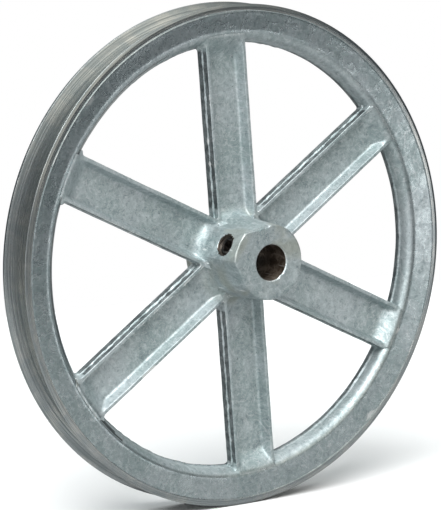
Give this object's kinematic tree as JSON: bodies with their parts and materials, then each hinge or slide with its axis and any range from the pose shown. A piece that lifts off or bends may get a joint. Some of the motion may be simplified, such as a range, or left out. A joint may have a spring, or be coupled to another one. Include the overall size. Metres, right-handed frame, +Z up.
{
  "type": "V-belt pulley",
  "caption": "Light-duty single-groove V-belt pulley: spoked die-cast wheel with an offset hub, a plain bore and a socket set screw that clamps it to a round shaft.",
  "frame": {"origin": "on the shaft's axis, in the middle plane of the rim", "axes": "Y is the shaft's axis with the hub's nose towards -Y; +Z is up; one spoke stands 5 degrees to the -X side of +Z; the set screw lies in the X-Z direction 155 degrees from +X towards +Z"},
  "size_m": [0.1778, 0.0318, 0.1778],
  "materials": {
    "cast_zinc": "as die cast, dull blue-grey, mottled; the groove is turned bright",
    "black_oxide_steel": "black oxide"
  },
  "bodies": {
    "pulley": {"pulley_casting": "cast_zinc"},
    "set_screw": {"set_screw": "black_oxide_steel"}
  },
  "joints": [
    {"name": "set_screw_travel", "type": "slide", "parent": "pulley", "child": "set_screw", "axis": [0.9063, 0, -0.4226], "range_m": [-0.00423, 0.00282]}
  ]
}
